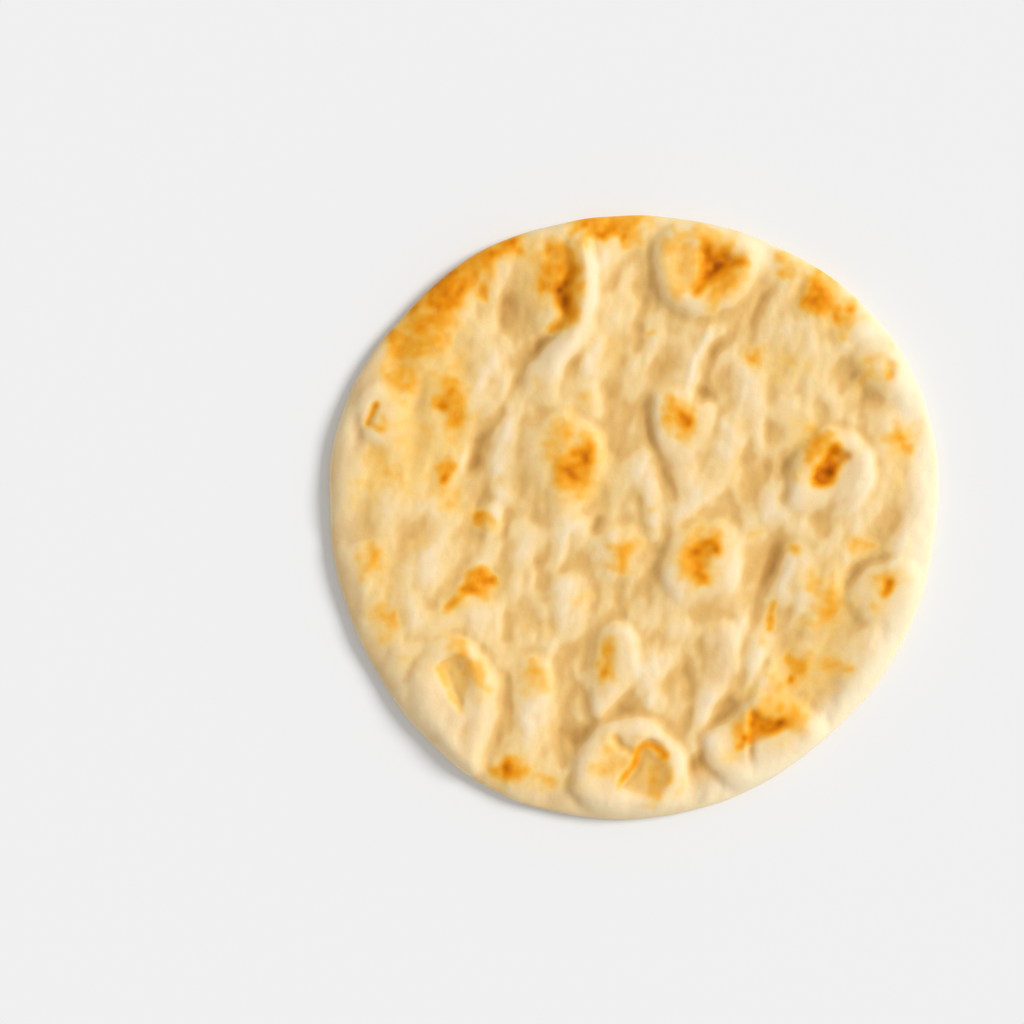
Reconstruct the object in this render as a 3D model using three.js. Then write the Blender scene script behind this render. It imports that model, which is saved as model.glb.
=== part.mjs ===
// Pita bread: a round flatbread without a pocket, baked as one piece. Millimetres, +Z up.
// It lies on its flat underside. The origin is on that face, in the middle of the outline's box.
import * as THREE from "three";

// Driving dimensions
const breadth = 178; // the outline's extent along X
const crumb = 6.6; // thickness between the blisters
const waist = 2.6; // height of the widest line around the edge
const shoulder = 9; // how far in the rounding above the waist reaches
const heel = 5; // how far in the rounding below the waist reaches
const sectors = 96; // steps around the loaf
const rings = 19; // steps from the middle of the top out to the shoulder
const roundingSteps = 2; // half the steps in each rounding
const burstShare = 0.5; // a burst middle's share of its blister's size

// The outline's radius every 15 degrees, from +X towards +Y
const outlineRadii = [
  88.5, 91, 92, 91.5, 90, 89, 88.5, 89, 90, 89.5, 90.5, 90.5,
  89, 88, 87.5, 88.5, 89.5, 89, 88, 87, 86, 85.5, 86.5, 87.5,
];

// Blisters raised by steam: where the middle is, half the size along and across its own axis, that
// axis's turn from X in degrees, how far it rises, and how deep its burst middle has sunk.
const blisters = [
  { name: "star_burst", at: [22, 72], half: [17, 15], turn: 0, rise: 4.4, sunk: 3 },
  { name: "long_curl", at: [-19, 60], half: [27, 11], turn: 75, rise: 4, sunk: 2.4 },
  { name: "slit", at: [57, 13], half: [14, 14], turn: 0, rise: 4.2, sunk: 3 },
  { name: "teardrop", at: [-51, -50], half: [20, 13], turn: 100, rise: 4, sunk: 2.6 },
  { name: "forked", at: [-1, -70], half: [19, 14], turn: 0, rise: 4.2, sunk: 2.6 },
  { name: "jagged", at: [38, -64], half: [20, 13], turn: 20, rise: 4, sunk: 2.8 },
  { name: "broad", at: [-21, 14], half: [18, 15], turn: 90, rise: 3, sunk: 0 },
  { name: "pear", at: [14, 26], half: [17, 10], turn: 86, rise: 3.2, sunk: 0 },
  { name: "square", at: [20, -12], half: [13, 12], turn: 60, rise: 3.2, sunk: 0.8 },
  { name: "by_the_rim", at: [73, -22], half: [12, 11], turn: 0, rise: 2.8, sunk: 1.2 },
  { name: "tall", at: [-6, -43], half: [18, 8], turn: 80, rise: 2.8, sunk: 0 },
  { name: "left_slit", at: [-75, 29], half: [10, 8], turn: 70, rise: 2.2, sunk: 1.6 },
  { name: "upper_right", at: [72, 44], half: [11, 9], turn: 120, rise: 1.8, sunk: 0.8 },
  { name: "middle", at: [-3, -11], half: [10, 9], turn: 0, rise: 2, sunk: 0 },
  { name: "soft_ridge", at: [24, -42], half: [17, 8], turn: 86, rise: 2.2, sunk: 0 },
];

// Long hollows between the blisters, stated in the same way, with how deep they are
const hollows = [
  { name: "beside_broad", at: [-37, 12], half: [20, 6], turn: 92, depth: 1.2 },
  { name: "beside_curl", at: [-35, 62], half: [12, 6], turn: 85, depth: 1.3 },
  { name: "below_slit", at: [40, -14], half: [28, 5], turn: 76, depth: 1.2 },
  { name: "beside_tall", at: [-16, -48], half: [26, 6], turn: 80, depth: 1.2 },
  { name: "beside_pear", at: [4, 27], half: [16, 5], turn: 100, depth: 1 },
  { name: "beside_jagged", at: [17, -52], half: [22, 5], turn: 80, depth: 1 },
];

// The closed outline, moved and sized so that its box is centred and as wide as the breadth.
function outlineCurve() {
  const step = (2 * Math.PI) / outlineRadii.length;
  const points = outlineRadii.map(
    (radius, i) => new THREE.Vector3(radius * Math.cos(i * step), radius * Math.sin(i * step), 0),
  );
  const curve = new THREE.CatmullRomCurve3(points, true);
  const box = new THREE.Box3().setFromPoints(curve.getPoints(sectors * 4));
  const middle = box.getCenter(new THREE.Vector3());
  const size = breadth / box.getSize(new THREE.Vector3()).x;
  for (const point of points) {
    point.sub(middle).multiplyScalar(size);
  }
  return new THREE.CatmullRomCurve3(points, true);
}

// The section from the middle of the underside, round the edge, to the middle of the top.
function sectionPoints() {
  const radius = breadth / 2;
  const section = new THREE.Path();
  section.moveTo(0, 0);
  section.lineTo(radius - heel, 0);
  section.absellipse(radius - heel, waist, heel, waist, -Math.PI / 2, 0, false);
  section.absellipse(radius - shoulder, waist, shoulder, crumb - waist, 0, Math.PI / 2, false);
  const edge = section.getPoints(roundingSteps);
  const top = [];
  for (let ring = 1; ring <= rings; ring += 1) {
    top.push(new THREE.Vector2((radius - shoulder) * (1 - ring / rings), crumb));
  }
  return [...edge, ...top];
}

// 1 in the middle of an oval mark, falling smoothly to 0 at its edge and beyond.
function inside(mark, x, y, share = 1) {
  const turn = THREE.MathUtils.degToRad(mark.turn);
  const dx = x - mark.at[0];
  const dy = y - mark.at[1];
  const along = (dx * Math.cos(turn) + dy * Math.sin(turn)) / (mark.half[0] * share);
  const across = (dy * Math.cos(turn) - dx * Math.sin(turn)) / (mark.half[1] * share);
  const left = Math.max(0, 1 - along * along - across * across);
  return left * left * (3 - 2 * left);
}

// How far the top stands above or below the plain crumb at a place.
function relief(x, y) {
  let height = 0;
  for (const blister of blisters) {
    const burst = blister.sunk * inside(blister, x, y, burstShare);
    const raised = blister.rise * inside(blister, x, y) - burst;
    height = Math.abs(raised) > Math.abs(height) ? raised : height;
  }
  for (const hollow of hollows) {
    height -= hollow.depth * inside(hollow, x, y);
  }
  return height;
}

// The loaf: the section turned about +Z, drawn out to the outline, with the relief on its top.
function pitaGeometry() {
  const outline = outlineCurve();
  const geometry = new THREE.LatheGeometry(sectionPoints(), sectors);
  geometry.rotateX(Math.PI / 2);
  const position = geometry.attributes.position;
  for (let i = 0; i < position.count; i += 1) {
    const reach = Math.hypot(position.getX(i), position.getY(i));
    const bearing = Math.atan2(position.getY(i), position.getX(i));
    const turned = Math.round((bearing / (2 * Math.PI)) * sectors + sectors) % sectors;
    const edge = outline.getPoint(turned / sectors);
    const share = reach / (breadth / 2);
    const height = position.getZ(i);
    const onTop = THREE.MathUtils.smoothstep(height, waist, crumb);
    const lift = onTop * relief(edge.x * share, edge.y * share);
    position.setXYZ(i, edge.x * share, edge.y * share, height + lift);
  }
  geometry.computeVertexNormals();
  return geometry;
}

const crust = new THREE.MeshStandardMaterial({ color: 0xf0d6a3, roughness: 0.85, metalness: 0 });
const pita = new THREE.Mesh(pitaGeometry(), crust);
pita.name = "pita";

const part = new THREE.Group();
part.add(pita);

export default part;
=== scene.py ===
import math

import bpy
import numpy as np
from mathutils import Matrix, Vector


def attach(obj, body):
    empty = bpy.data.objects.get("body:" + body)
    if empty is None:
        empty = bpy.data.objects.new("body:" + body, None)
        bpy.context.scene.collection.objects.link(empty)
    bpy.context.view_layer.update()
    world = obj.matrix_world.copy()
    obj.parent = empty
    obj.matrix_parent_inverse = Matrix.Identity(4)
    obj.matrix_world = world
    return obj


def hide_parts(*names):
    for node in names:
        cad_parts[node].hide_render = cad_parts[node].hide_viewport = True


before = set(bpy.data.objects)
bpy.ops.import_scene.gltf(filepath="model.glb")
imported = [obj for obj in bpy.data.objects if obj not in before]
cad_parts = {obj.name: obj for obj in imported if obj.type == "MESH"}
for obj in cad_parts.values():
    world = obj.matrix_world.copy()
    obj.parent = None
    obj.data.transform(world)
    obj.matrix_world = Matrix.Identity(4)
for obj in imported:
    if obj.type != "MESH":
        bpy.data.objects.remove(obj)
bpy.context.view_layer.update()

mm = 0.001

# What a baker would change, in millimetres, seen from above and measured from the middle of the bread.
# The light comes from +X.
dough = {
    "seed": 11,
    "crumb": 6.6,  # thickness between the blisters
    "waist": 2.6,  # height of the widest line
    "shoulder": 11.0,  # how far in the upper rounding reaches
    "heel": 5.0,  # how far in the lower rounding reaches
    "shoulderFullness": 2.5,  # 2 rounds like a circle, more is squarer
    "heelFullness": 2.0,
    "waistWave": 0.35,  # how much the widest line rises and falls
    "rimWobble": 0.28,
    "wrinkles": 0.58,  # the folds of the skin
    "wrinkleSize": (13, 23),  # across and along
    "crinkles": 0.17,  # the creasing on the folds
    "crinkleSize": (7.0, 12.5),
    "swells": 0.36,  # broad waves in the thickness
    "swellSize": (46, 70),
    "otherFolds": [(0.33, 22, 34), (0.040, 4.2, 8.0), (0.015, 2.5, 4.0)],  # height, across and along
    "wrinkleLean": 74,  # degrees from +X
    "skinTension": 0.45,  # how much a blister pulls the wrinkles out
    "topCells": 280,
    "bottomCells": 140,
}

# Blisters: the foot is the line where the skin leaves the crumb. "sides" is how wide the slopes on the
# left and the right are, "dip" is how far the middle has fallen back, and "fade" is the stretch over
# which it dies away.
blisters = {
    "starBurst": {
        "foot": [(5, 80), (4.5, 73), (5.2, 67), (8, 62.5), (12, 59.5), (16, 58), (20, 57.7), (25, 58.8),
                 (29.5, 61), (33.5, 65), (37, 70), (38.8, 75), (38.5, 79.5), (35, 83), (28, 85.5),
                 (20, 87), (11, 86)],
        "rise": 2.9, "sides": (5.6, 7.5), "dip": 1.3,
    },
    "longCurl": {
        "foot": [(-13.5, 83), (-11.5, 77), (-10.7, 71), (-10.6, 64), (-11.7, 55.5), (-15.2, 48.5),
                 (-19.3, 44), (-21.6, 38), (-23.4, 33), (-27, 31), (-31, 34), (-33.5, 39), (-32.5, 44),
                 (-28, 49.7), (-23, 55), (-20.6, 60), (-20, 66), (-19.4, 72), (-19.8, 77), (-19.5, 82)],
        "rise": 3.1, "sides": (7.0, 4.6), "dip": 0, "fade": ((-34, 30), (-22, 50)),
    },
    "slit": {
        "foot": [(44.6, 2), (44.3, 9), (44.8, 15), (46.5, 19), (50, 23), (54, 25.8), (58, 27), (62, 26.3),
                 (66, 24), (69.6, 19), (70.6, 13), (69, 7), (65, 2), (60, -0.5), (53, -1)],
        "rise": 2.6, "sides": (5.2, 7.0), "dip": 0.8, "fade": ((55, -4), (57, 8)),
    },
    "teardrop": {
        "foot": [(-61, -38), (-58, -35), (-54, -33.8), (-50, -34.2), (-46.5, -36.5), (-43, -40),
                 (-40.4, -45), (-39, -50), (-38.9, -56), (-40, -62), (-42, -68), (-46, -76), (-56, -72),
                 (-64, -60), (-66, -48)],
        "rise": 2.6, "sides": (7.5, 6.5), "dip": 0.8, "fade": ((-72, -59), (-56, -53)),
    },
    "forked": {
        "foot": [(-19, -80), (-18.5, -74), (-17, -68), (-14.5, -63.5), (-11.5, -60), (-8, -57.8),
                 (-4, -56.8),
                 (0, -57), (4, -57.6), (7.5, -59.5), (10.5, -62.5), (13.5, -66), (15.8, -69.5),
                 (17, -74), (16, -80), (10, -87), (-10, -87)],
        "rise": 2.7, "sides": (6.0, 7.5), "dip": 0.9,
    },
    "jagged": {
        "foot": [(20, -63), (25.5, -58), (30, -54.5), (34, -52), (38, -50.6), (43, -51), (48, -52.6),
                 (52, -55.5), (56, -60), (58, -68), (48, -78), (34, -82), (24, -76), (19.5, -70)],
        "rise": 2.5, "sides": (6.0, 7.5), "dip": 0.9,
    },
    "broad": {
        "foot": [(-38, 22), (-31, 29), (-22, 31), (-17, 30.5), (-12.5, 28.3), (-9.3, 25), (-7.8, 21),
                 (-7.6, 16), (-8.8, 11), (-11.5, 6), (-14.5, 2.6), (-18, 0), (-22, -1.6), (-28, -3),
                 (-35, 0), (-39, 10)],
        "rise": 1.8, "sides": (8.5, 6.5), "dip": 0, "fade": ((-37, 10), (-20, 13)),
    },
    "pear": {
        "foot": [(5, 36), (8, 37.8), (13, 38.3), (18, 37), (23, 34), (24, 31), (23.5, 26), (22, 21.5),
                 (20, 17), (18, 12.5), (16, 7.5), (12.5, 6), (9.7, 12), (7.3, 18), (5, 24), (4.3, 30)],
        "rise": 1.9, "sides": (5.4, 6.0), "dip": 0, "fade": ((13, 4), (14, 21)),
    },
    "square": {
        "foot": [(7, -14), (8, -8.5), (10, -5.5), (13, -3), (16.5, -0.8), (21, 0.6), (25.5, 0.8), (29, -1),
                 (31, -4.5), (31.8, -9), (32, -14), (31, -19), (29, -24), (25, -29), (19, -30), (12, -25),
                 (8, -20)],
        "rise": 1.9, "sides": (6.0, 7.5), "dip": 0, "fade": ((18, -32), (18, -17)),
    },
    "byTheRim": {
        "foot": [(61.5, -22), (63, -17), (66, -14), (70, -12), (76, -11.5), (82, -13), (85, -20),
                 (82, -28), (74, -33), (66, -31), (62.5, -27)],
        "rise": 1.8, "sides": (5.4, 7.0), "dip": 0.2, "fade": ((76, -36), (73, -22)),
    },
    "tall": {
        "foot": [(-12, -37), (-10, -31.5), (-7, -29), (-3.5, -29.3), (-0.3, -32), (1.8, -37), (1.8, -42.5),
                 (-0.2, -48.5), (-3.5, -53), (-6.5, -57), (-10, -60), (-13.5, -57), (-13, -50), (-13, -43)],
        "rise": 1.9, "sides": (7.0, 4.8), "dip": 0,
    },
    "leftSlit": {
        "foot": [(-82, 33), (-78, 39), (-71, 38), (-66.5, 33), (-66.5, 27), (-71, 23), (-78, 22)],
        "rise": 1.4, "sides": (6.0, 6.0), "dip": 0,
    },
    "upperRight": {
        "foot": [(63, 44), (65, 50), (70, 53), (77, 52), (82, 44), (82, 37), (76, 34), (68, 36)],
        "rise": 1.4, "sides": (6.0, 7.0), "dip": 0.1,
    },
    "middle": {
        "foot": [(-12, -9), (-10, -4), (-5, -1.5), (1, -2), (5, -5), (5.5, -11), (3.5, -17), (-1, -20.5),
                 (-7, -20), (-11, -16)],
        "rise": 1.3, "sides": (6.0, 7.0), "dip": 0, "fade": ((-12, -13), (-4, -10)),
    },
    "softRidge": {
        "foot": [(19, -34), (21, -29.5), (26, -28.5), (30.3, -32), (31.3, -39), (30.8, -47), (27, -53),
                 (20, -55), (16.5, -47), (17, -39)],
        "rise": 1.6, "sides": (8.0, 4.6), "dip": 0, "fade": ((13, -42), (27, -42)),
    },
    "aboveBroad": {
        "foot": [(-18, 33), (-16, 38), (-12, 40), (-8.3, 37), (-7.5, 32), (-9, 27), (-14, 26.5),
                 (-17.5, 29)],
        "rise": 1.1, "sides": (5.5, 5.0), "dip": 0, "fade": ((-20, 33), (-11, 33)),
    },
    "belowTear": {
        "foot": [(-37, -45), (-34, -40), (-29, -39), (-24.5, -42), (-22.5, -48), (-25, -55), (-31, -57),
                 (-36, -52)],
        "rise": 1.2, "sides": (7.0, 7.0), "dip": 0, "fade": ((-40, -48), (-29, -47)),
    },
    "leftKnob": {
        "foot": [(-48, 0), (-45.5, 4.5), (-41, 5), (-37.5, 1.5), (-38.5, -4), (-43, -6), (-47.5, -4)],
        "rise": 0.9, "sides": (5.0, 5.0), "dip": 0, "fade": ((-50, 0), (-42, 0)),
    },
}

# Burst middles. The skin is torn along the left, so the wall there is steep and the floor climbs
# to the right: "walls" is how wide the left and the right wall are, "browned" how toasted the floor is.
craters = {
    "starBurst": {
        "edge": [(19, 79), (21, 80.2), (22, 77.5), (24, 77.5), (27, 79.3), (28.5, 76.3), (32, 74),
                 (29, 71.8), (25.5, 71), (23, 68.5), (19.5, 66), (17.7, 65.6), (18.6, 70), (18.4, 75)],
        "deep": 1.9, "browned": 0.3, "walls": (1.6, 4.5),
    },
    "slit": {
        "edge": [(56.5, 20.8), (59.5, 20.2), (63.4, 18.8), (63, 16.6), (59.4, 15), (58, 12.4), (57.2, 9.8),
                 (54, 9), (50.6, 9.6), (52.6, 13.6), (55, 17.4)],
        "deep": 2.1, "browned": 0.4, "walls": (1.1, 2.6),
    },
    "teardrop": {
        "edge": [(-57.3, -42.6), (-55, -47), (-53, -51), (-51, -55), (-49.8, -56.4), (-47.6, -53),
                 (-46, -48), (-45.5, -43), (-48, -39.5), (-53, -39.5)],
        "deep": 1.9, "browned": 0.06, "walls": (0.8, 6.5),
    },
    "jagged": {
        "edge": [(33.4, -55.5), (34, -60), (33.6, -64.8), (36.5, -65.6), (38.5, -63.5), (41.5, -62.3),
                 (44, -61.5), (44, -58.8), (39, -58.3), (36, -56)],
        "deep": 1.8, "browned": 0.24, "walls": (0.7, 4),
    },
    "forkedRight": {
        "edge": [(-4.2, -78.5), (-2.8, -75), (-0.3, -73), (0.7, -69.5), (1.6, -66.6), (4, -65.5), (7, -66),
                 (10.3, -68.6), (12, -73), (11, -79), (6, -82), (0, -81)],
        "deep": 1.5, "browned": 0.06, "walls": (0.9, 8),
    },
    "square": {
        "edge": [(14, -9), (17, -6), (21, -5.6), (23.5, -8), (22.6, -12), (21, -16), (20.2, -19.6),
                 (18.6, -16.5), (16, -15), (13.6, -13)],
        "deep": 0.9, "browned": 0.12, "walls": (2, 3.5),
    },
    "broad": {
        "edge": [(-22, 12), (-20.5, 18), (-16.5, 22), (-13.3, 22), (-12, 17), (-13.5, 10), (-17, 7),
                 (-21, 8)],
        "deep": 0.5, "browned": 0.04, "walls": (2.5, 3),
    },
    "byTheRim": {
        "edge": [(69.5, -15.8), (71.6, -18), (72, -21), (71, -23.6), (73, -23.4), (75, -20), (76, -17.5),
                 (73.5, -16.5)],
        "deep": 0.8, "browned": 0.2, "walls": (1.2, 2.5),
    },
    "upperRight": {
        "edge": [(72, 46), (74, 47.5), (76.2, 45), (75.6, 41), (73.6, 39.4), (73.4, 43)],
        "deep": 0.9, "browned": 0.2, "walls": (0.9, 2.2),
    },
    "tall": {
        "edge": [(-10.5, -40), (-9.5, -35.5), (-6, -35.5), (-5, -40), (-6.8, -45.5), (-9.8, -47)],
        "deep": 0.4, "browned": 0.08, "walls": (2, 3),
    },
}

# Creases and grooves: points, how deep, and how wide on the left and the right of their line.
creases = [
    ([(-17, 74), (-19.5, 70), (-21.7, 66.5), (-22, 63), (-20.2, 60.5), (-21, 57), (-24, 54), (-27.5, 51),
      (-31, 49)], 1.3, 1.6, 2.6),
    ([(-57.4, -43), (-55.2, -47.6), (-53, -51.6), (-50, -56.2)], 1.0, 0.9, 1.3),
    ([(-37, 67), (-38.7, 61), (-38.6, 57), (-36.5, 53.5)], 1.0, 1.4, 5),
    ([(-5.8, -62.5), (-4.6, -66), (-1.7, -67.7), (0.8, -68.8)], 1.9, 1.0, 1.4),
    ([(9.5, -69.3), (6.3, -66.5), (3.2, -65.6), (1.2, -67.5), (0.6, -70.2), (-0.6, -73), (-3, -75.4),
      (-4.6, -78.4)], 2.3, 0.9, 1.6),
    ([(33.9, -56.5), (34, -60), (33.5, -65), (33.9, -72.5)], 1.3, 0.8, 1.1),
    ([(32.4, -63.8), (30.4, -66.8)], 0.9, 0.8, 1.1),
    ([(-75.2, 33.5), (-78.6, 26.2)], 1.7, 0.9, 1.6),
    ([(41.3, -7), (40, -13), (38, -18), (36.5, -22), (35, -27), (33.3, -32.5), (31.8, -37), (31, -43)],
     1.1, 1.8, 2.6),
    ([(38.5, -40), (37, -44.5), (34, -50), (30.5, -54)], 0.9, 1.3, 1.6),
    ([(49.5, 69), (46.3, 62), (46, 56)], 0.8, 1.2, 2.2),
    ([(38.5, 66.5), (35.2, 60), (33, 53.5)], 0.7, 1.2, 2),
    ([(28.3, 57), (26, 47)], 0.25, 1.5, 2.2),
    ([(39.3, 39), (39, 25), (38, 8)], 0.7, 1.6, 2.8),
    ([(-61.5, 39), (-63, 32), (-62, 22)], 0.9, 2.2, 3.2),
    ([(-57, 18.5), (-59, 13), (-60, 4.5)], 0.7, 1.2, 2.0),
    ([(-45.8, 26), (-47, 18), (-49, 11)], 0.8, 1.2, 2.2),
    ([(-33.8, 42), (-37, 35), (-39.2, 28)], 0.8, 1.1, 2.0),
    ([(-41.3, 41), (-44.3, 35)], 0.6, 1.1, 1.8),
    ([(-10.3, 0.8), (-12.7, -5)], 0.8, 1.0, 1.8),
    ([(-18.3, -4), (-19.5, -12), (-22.3, -17.5)], 0.8, 1.2, 2.0),
    ([(-28.4, -11), (-28.6, -22)], 0.7, 1.2, 2.0),
    ([(-37, -27), (-37.6, -37)], 0.7, 1.2, 2.0),
    ([(49.3, -27), (47, -35.5)], 0.7, 1.4, 2.0),
    ([(1, 47), (1, 57)], 0.5, 1.5, 2.2),
    ([(2.2, 6), (0.8, -0.5)], 0.6, 1.2, 2.0),
    ([(-22.3, 21), (-24.5, 13), (-26.2, 4)], 0.5, 1.0, 1.6),
    ([(16.7, -0.2), (13.4, -3.6)], 0.6, 1.0, 1.4),
    ([(4.6, 35), (3.6, 29), (4.2, 23.5), (6.2, 18.5), (8, 13.5), (10.5, 9), (12, 4)], 0.7, 3.2, 1.2),
    ([(6, -6.5), (5.4, -13), (5, -18), (2.6, -24)], 0.55, 3.4, 1.4),
    ([(-13, -31.5), (-14.2, -38), (-15.2, -43), (-16, -48), (-15, -53), (-12.6, -59)], 0.6, 2.6, 1.4),
    ([(14.8, -33), (13.2, -40), (15.6, -48.5), (15, -54)], 0.5, 3.4, 2.0),
    ([(2, 82), (1.2, 75), (2.2, 68), (5.5, 61.5), (12, 57)], 0.5, 3.4, 1.5),
    ([(43.3, 21), (42.8, 12), (43.4, 2)], 0.55, 3.4, 1.4),
    ([(-38, -43), (-37.2, -50), (-37.8, -57)], 0.8, 1.4, 1.6),
    ([(29, -54), (24.5, -58), (20, -61.6), (17.5, -66), (17.3, -71), (20, -75.5)], 0.5, 3.4, 1.5),
    ([(-15, -59.5), (-19.4, -66.5), (-21, -74)], 0.5, 3.4, 1.5),
    ([(61, -22), (61.6, -18.5), (64.5, -15), (68.5, -12.6), (75, -11.4)], 0.8, 1.4, 1.2),
    ([(63.3, -25), (64.4, -34)], 0.35, 2.6, 3.0),
]

# Soft hollows: middle, half length and half width, the turn of the long way from +X, and how deep.
hollows = [
    ((-34, 11), (17.2, 7.5), 92, 0.75),
    ((-34.5, 61), (12.6, 6.9), 84, 0.82),
    ((60, 5), (4.6, 7.5), 100, 0.61),
    ((61, 42), (9.2, 6.2), 80, 0.75),
    ((65, -29), (9.2, 5), 75, 0.61),
    ((17, -42), (16.1, 5), 84, 0.61),
    ((-15, -12), (10.3, 6.2), 78, 0.61),
    ((28, 33), (8, 3.8), 80, 0.48),
    ((22.5, 14), (8, 4.4), 80, 0.48),
    ((55, 54), (6.9, 3.8), 70, 0.54),
    ((-25, -12), (10.3, 5), 78, 0.41),
    ((-9, 58), (23, 5), 86, 0.41),
    ((34, 17), (16.1, 5), 84, 0.41),
    ((46, -44), (8, 3.8), 75, 0.41),
    ((-57, -24), (9.2, 6.2), 75, 0.41),
    ((8, 47), (11.5, 5), 80, 0.41),
    ((-21, -62), (13.8, 5), 82, 0.54),
    ((2, 76), (11.5, 5), 85, 0.48),
    ((21.8, 47.5), (12.5, 4.2), 65, 0.95),
]

cell = 0.4
reach = 96.0
count = int(2 * reach / cell) + 1
across = np.linspace(-reach, reach, count)
placeX, placeY = np.meshgrid(across, across)


def smoothStep(low, high, value):
    share = np.clip((value - low) / (high - low), 0, 1)
    return share * share * (3 - 2 * share)


def smoothLine(points, closed=False, steps=6):
    # a Catmull-Rom curve through the points
    points = np.array(points, float)
    if closed:
        ahead, behind = points[:1], points[-1:]
        ends = np.vstack([behind, points, ahead, points[1:2]])
    else:
        ends = np.vstack([2 * points[:1] - points[1:2], points, 2 * points[-1:] - points[-2:-1]])
    made = []
    for i in range(len(ends) - 3):
        a, b, c, d = ends[i : i + 4]
        for t in np.arange(steps) / steps:
            made.append(0.5 * (2 * b + (c - a) * t + (2 * a - 5 * b + 4 * c - d) * t**2
                               + (3 * b - a - 3 * c + d) * t**3))
    if not closed:
        made.append(points[-1])
    return np.array(made)


def patchAround(line, margin):
    # the part of the map that a line can change
    low = np.searchsorted(across, line.min(0) - margin)
    high = np.searchsorted(across, line.max(0) + margin)
    return np.s_[low[1] : high[1], low[0] : high[0]]


def lineDistance(line, x, y, closed=False):
    # how far each place is from the line, whether a loop holds it, how much the nearest point lies to
    # its right, from -1 to 1, and how far along the line that point is, from 0 to 1
    starts = line if closed else line[:-1]
    stops = np.roll(line, -1, axis=0) if closed else line[1:]
    nearest = np.full(x.shape, 1e9)
    towards = np.zeros(x.shape)
    share = np.zeros(x.shape)
    held = np.zeros(x.shape, bool)
    for i, ((ax, ay), (bx, by)) in enumerate(zip(starts, stops)):
        dx, dy = bx - ax, by - ay
        along = np.clip(((x - ax) * dx + (y - ay) * dy) / (dx * dx + dy * dy + 1e-12), 0, 1)
        offX, offY = x - ax - along * dx, y - ay - along * dy
        far = offX * offX + offY * offY
        closer = far < nearest
        nearest = np.where(closer, far, nearest)
        towards = np.where(closer, -offX / np.sqrt(far + 1e-9), towards)
        share = np.where(closer, (i + along) / len(starts), share)
        if ay != by:
            held ^= ((ay > y) != (by > y)) & (x < (y - ay) * dx / dy + ax)
    return np.sqrt(nearest), held, towards, share


def softened(field, width):
    # a Gaussian blur of the whole map
    waves = np.fft.fftfreq(count, cell)
    keep = np.exp(-2 * (math.pi * width) ** 2 * (waves[:, None] ** 2 + waves[None, :] ** 2))
    return np.fft.ifft2(np.fft.fft2(field) * keep).real


def doughNoise(random, acrossSize, alongSize, lean=0.0):
    # random folds of about those sizes, leaning that way
    waves = np.fft.fftfreq(count, cell)
    waveX, waveY = np.meshgrid(waves, waves)
    turn = math.radians(lean)
    alongWave = (waveX * math.cos(turn) + waveY * math.sin(turn)) * alongSize
    acrossWave = (waveY * math.cos(turn) - waveX * math.sin(turn)) * acrossSize
    size = alongWave**2 + acrossWave**2
    field = np.fft.ifft2(np.fft.fft2(random.standard_normal((count, count))) * size * np.exp(-size)).real
    return field / field.std()


def readMap(field, x, y):
    # the map's value at places between its cells
    col = np.clip((x + reach) / cell, 0, count - 1.001)
    row = np.clip((y + reach) / cell, 0, count - 1.001)
    c, r = col.astype(int), row.astype(int)
    u, v = col - c, row - r
    return ((field[r, c] * (1 - u) + field[r, c + 1] * u) * (1 - v)
            + (field[r + 1, c] * (1 - u) + field[r + 1, c + 1] * u) * v)


def ovalMark(x, y, middle, half, turn):
    # 0 in the middle of an oval and 1 at its edge
    angle = math.radians(turn)
    dx, dy = x - middle[0], y - middle[1]
    u = (dx * math.cos(angle) + dy * math.sin(angle)) / half[0]
    v = (dy * math.cos(angle) - dx * math.sin(angle)) / half[1]
    return np.hypot(u, v)


def broadBacked(field):
    # rounded backs with narrower valleys between them, and no pits
    field = 1.9 * np.tanh(field / 1.9)
    return 1.1 * (1 - np.exp(-0.55 * (field + 1.0)))


def foldedSkin(random):
    # leaning folds, bent a little so that none runs straight
    bendX = doughNoise(random, 26, 26)
    bendY = doughNoise(random, 26, 26)
    lean = dough["wrinkleLean"]
    folds = doughNoise(random, *dough["wrinkleSize"], lean)
    folds = readMap(folds, placeX + 1.2 * bendX, placeY + 1.2 * bendY)
    crinkles = doughNoise(random, *dough["crinkleSize"], lean - 3)
    crinkles = readMap(crinkles, placeX + 0.7 * bendY, placeY + 0.7 * bendX)
    skin = dough["wrinkles"] * broadBacked(folds) + dough["crinkles"] * broadBacked(crinkles)
    for height, acrossSize, alongSize in dough["otherFolds"]:
        skin += height * doughNoise(random, acrossSize, alongSize, lean)
    return skin, dough["swells"] * doughNoise(random, *dough["swellSize"], lean)


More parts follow.
